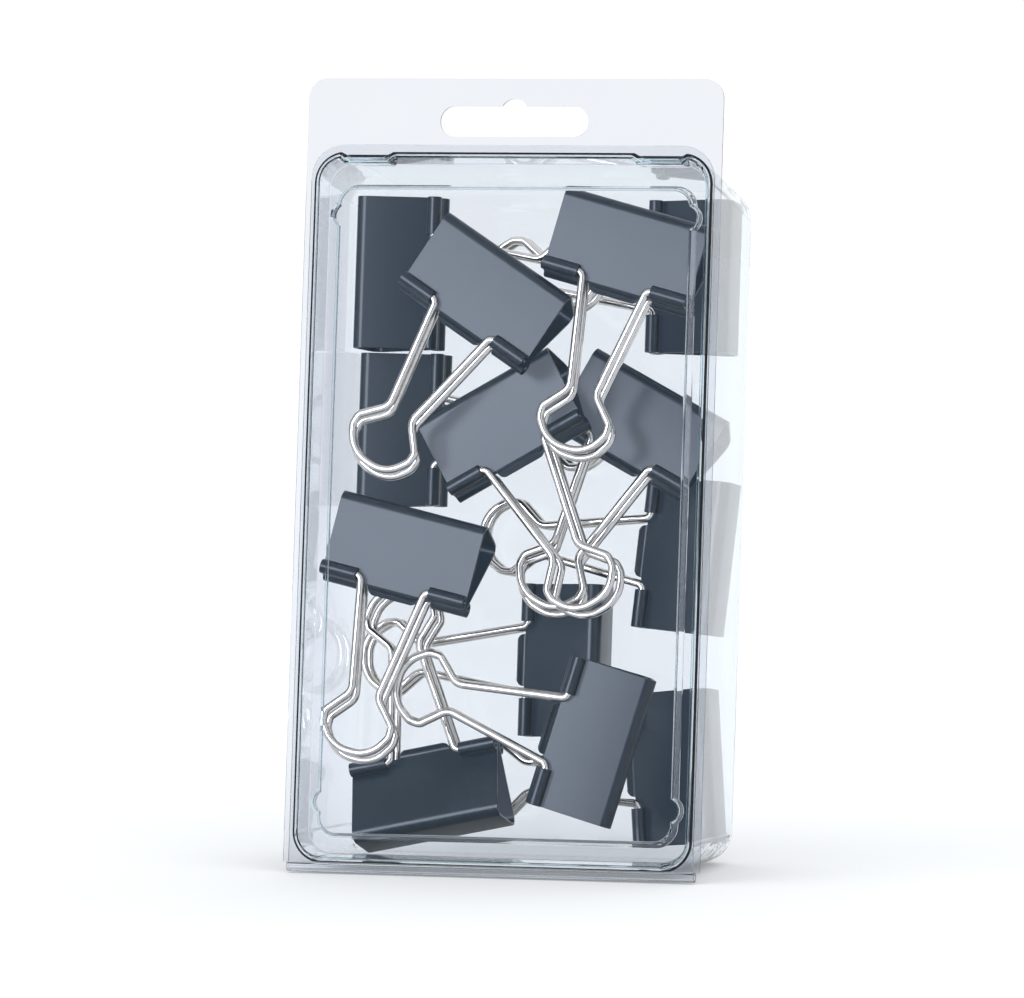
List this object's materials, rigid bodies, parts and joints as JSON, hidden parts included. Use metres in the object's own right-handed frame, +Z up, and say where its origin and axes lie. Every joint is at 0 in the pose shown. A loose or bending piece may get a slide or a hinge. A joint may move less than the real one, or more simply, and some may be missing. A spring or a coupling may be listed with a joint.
{
  "type": "clear hanging clamshell pack of binder clips",
  "caption": "Clear vacuum-formed clamshell pack with a hang tab and press-in hinged cover, filled with black binder clips with bright wire handles.",
  "frame": {"origin": "centre of the footprint, on the floor the pack stands on", "axes": "+X to the pack's right as seen from the front, +Y from the cover back through the tray, +Z up"},
  "size_m": [0.089, 0.062, 0.1638],
  "materials": {
    "clear_sheet": "clear, glossy",
    "black_paint": "satin black",
    "bright_wire": "bright nickel"
  },
  "bodies": {
    "tray": {"tray": "clear_sheet", "clip_01_body": "black_paint", "clip_01_front_handle": "bright_wire", "clip_01_back_handle": "bright_wire", "clip_02_body": "black_paint", "clip_02_front_handle": "bright_wire", "clip_02_back_handle": "bright_wire", "clip_03_body": "black_paint", "clip_03_front_handle": "bright_wire", "clip_03_back_handle": "bright_wire", "clip_04_body": "black_paint", "clip_04_front_handle": "bright_wire", "clip_04_back_handle": "bright_wire", "clip_05_body": "black_paint", "clip_05_front_handle": "bright_wire", "clip_05_back_handle": "bright_wire", "clip_06_body": "black_paint", "clip_06_front_handle": "bright_wire", "clip_06_back_handle": "bright_wire", "clip_07_body": "black_paint", "clip_07_front_handle": "bright_wire", "clip_07_back_handle": "bright_wire", "clip_08_body": "black_paint", "clip_08_front_handle": "bright_wire", "clip_08_back_handle": "bright_wire", "clip_09_body": "black_paint", "clip_09_front_handle": "bright_wire", "clip_09_back_handle": "bright_wire", "clip_10_body": "black_paint", "clip_10_front_handle": "bright_wire", "clip_10_back_handle": "bright_wire", "clip_11_body": "black_paint", "clip_11_front_handle": "bright_wire", "clip_11_back_handle": "bright_wire", "clip_12_body": "black_paint", "clip_12_front_handle": "bright_wire", "clip_12_back_handle": "bright_wire", "clip_13_body": "black_paint", "clip_13_front_handle": "bright_wire", "clip_13_back_handle": "bright_wire"},
    "cover": {"cover": "clear_sheet"}
  },
  "joints": [
    {"name": "cover_hinge", "type": "hinge", "parent": "tray", "child": "cover", "pos_m": [0, -0.03004, 0.00001], "axis": [1, 0, 0], "range_deg": [0, 180]}
  ]
}
